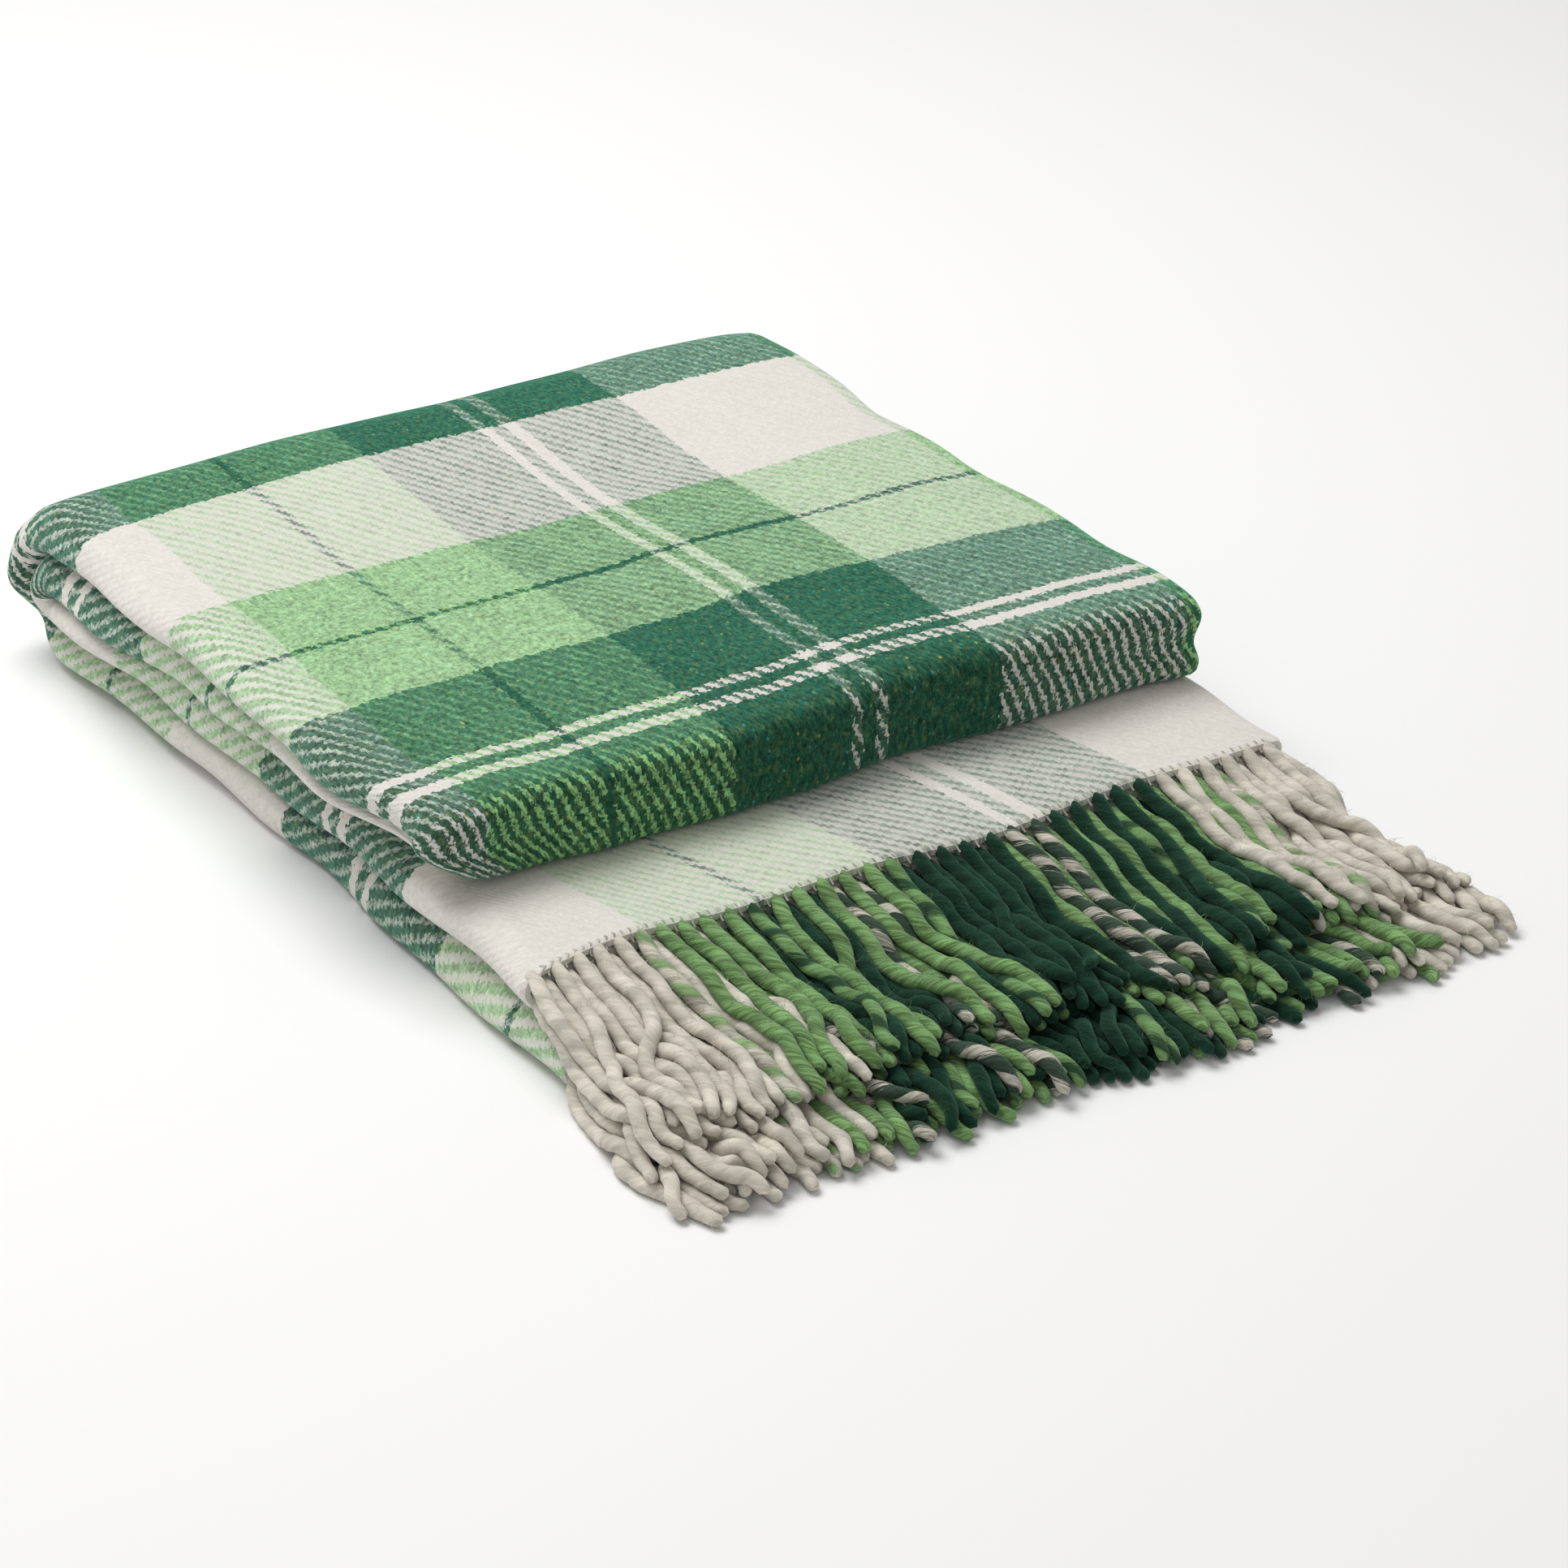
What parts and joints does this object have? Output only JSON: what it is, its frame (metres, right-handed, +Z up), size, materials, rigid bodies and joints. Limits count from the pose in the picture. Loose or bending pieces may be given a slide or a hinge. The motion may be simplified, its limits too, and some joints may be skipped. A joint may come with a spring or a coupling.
{
  "type": "folded throw blanket",
  "caption": "Fringed tartan wool throw, folded into a thick rectangular stack with both fringes lying out in front.",
  "frame": {"origin": "middle of the object's footprint, on the surface it lies on", "axes": "+Z up, +Y towards the back folds and away from the fringes, +X towards the open selvedges"},
  "size_m": [0.356, 0.5366, 0.0757],
  "materials": {
    "tartan_cloth": "brushed wool twill in a tartan of cream, light green and dark green",
    "hem_thread": "fine off-white stitching",
    "cream_yarn": "soft twisted cream wool",
    "light_green_yarn": "soft twisted light green wool with turquoise and yellow flecks",
    "dark_green_yarn": "soft twisted dark green wool",
    "light_dark_yarn": "light and dark green wool twisted together",
    "cream_light_yarn": "cream and light green wool twisted together",
    "cream_dark_yarn": "cream and dark green wool twisted together"
  },
  "bodies": {
    "lower_stack": {"bottom_panel": "tartan_cloth", "lower_panel": "tartan_cloth", "outer_back_fold": "tartan_cloth", "inner_back_fold": "tartan_cloth", "lower_hem_thread": "hem_thread"},
    "upper_stack": {"inner_panel": "tartan_cloth", "top_panel": "tartan_cloth", "front_fold": "tartan_cloth"},
    "fringed_leaf": {"upper_leaf": "tartan_cloth", "upper_hem_thread": "hem_thread"},
    "upper_fringe": {"upper_fringe_ply_1_cream": "cream_yarn", "upper_fringe_ply_1_cream_dark_twist": "cream_dark_yarn", "upper_fringe_ply_1_cream_light_twist": "cream_light_yarn", "upper_fringe_ply_1_dark_green": "dark_green_yarn", "upper_fringe_ply_1_light_dark_twist": "light_dark_yarn", "upper_fringe_ply_1_light_green": "light_green_yarn", "upper_fringe_ply_2_cream": "cream_yarn", "upper_fringe_ply_2_cream_dark_twist": "cream_dark_yarn", "upper_fringe_ply_2_cream_light_twist": "cream_light_yarn", "upper_fringe_ply_2_dark_green": "dark_green_yarn", "upper_fringe_ply_2_light_dark_twist": "light_dark_yarn", "upper_fringe_ply_2_light_green": "light_green_yarn", "upper_fringe_ply_3_cream": "cream_yarn", "upper_fringe_ply_3_cream_dark_twist": "cream_dark_yarn", "upper_fringe_ply_3_cream_light_twist": "cream_light_yarn", "upper_fringe_ply_3_dark_green": "dark_green_yarn", "upper_fringe_ply_3_light_dark_twist": "light_dark_yarn", "upper_fringe_ply_3_light_green": "light_green_yarn", "upper_fringe_ply_4_cream": "cream_yarn", "upper_fringe_ply_4_cream_dark_twist": "cream_dark_yarn", "upper_fringe_ply_4_cream_light_twist": "cream_light_yarn", "upper_fringe_ply_4_dark_green": "dark_green_yarn", "upper_fringe_ply_4_light_dark_twist": "light_dark_yarn", "upper_fringe_ply_4_light_green": "light_green_yarn"},
    "lower_fringe": {"lower_fringe_ply_1_cream": "cream_yarn", "lower_fringe_ply_1_cream_dark_twist": "cream_dark_yarn", "lower_fringe_ply_1_dark_green": "dark_green_yarn", "lower_fringe_ply_1_light_dark_twist": "light_dark_yarn", "lower_fringe_ply_1_light_green": "light_green_yarn", "lower_fringe_ply_2_cream": "cream_yarn", "lower_fringe_ply_2_cream_dark_twist": "cream_dark_yarn", "lower_fringe_ply_2_cream_light_twist": "cream_light_yarn", "lower_fringe_ply_2_dark_green": "dark_green_yarn", "lower_fringe_ply_2_light_dark_twist": "light_dark_yarn", "lower_fringe_ply_2_light_green": "light_green_yarn", "lower_fringe_ply_3_cream": "cream_yarn", "lower_fringe_ply_3_cream_dark_twist": "cream_dark_yarn", "lower_fringe_ply_3_dark_green": "dark_green_yarn", "lower_fringe_ply_3_light_dark_twist": "light_dark_yarn", "lower_fringe_ply_3_light_green": "light_green_yarn", "lower_fringe_ply_4_cream": "cream_yarn", "lower_fringe_ply_4_cream_dark_twist": "cream_dark_yarn", "lower_fringe_ply_4_cream_light_twist": "cream_light_yarn", "lower_fringe_ply_4_dark_green": "dark_green_yarn", "lower_fringe_ply_4_light_dark_twist": "light_dark_yarn", "lower_fringe_ply_4_light_green": "light_green_yarn"}
  },
  "joints": [
    {"name": "back_fold_hinge", "type": "hinge", "parent": "lower_stack", "child": "upper_stack", "pos_m": [0, 0.23042, 0.03785], "axis": [-1, 0, 0], "range_deg": [0, 180], "deforming": ["outer_back_fold", "inner_back_fold"]},
    {"name": "leaf_hinge", "type": "hinge", "parent": "lower_stack", "child": "fringed_leaf", "pos_m": [0, -0.08872, 0.03785], "axis": [-1, 0, 0], "range_deg": [0, 90]},
    {"name": "upper_fringe_hinge", "type": "hinge", "parent": "fringed_leaf", "child": "upper_fringe", "pos_m": [0, -0.14213, 0.03785], "axis": [-1, 0, 0], "range_deg": [0, 90]},
    {"name": "lower_fringe_hinge", "type": "hinge", "parent": "lower_stack", "child": "lower_fringe", "pos_m": [0, -0.16812, 0.01885], "axis": [-1, 0, 0], "range_deg": [0, 90]}
  ],
  "couplings": [
    {"joint": "lower_fringe_hinge", "follows": "upper_fringe_hinge", "ratio": 1}
  ]
}
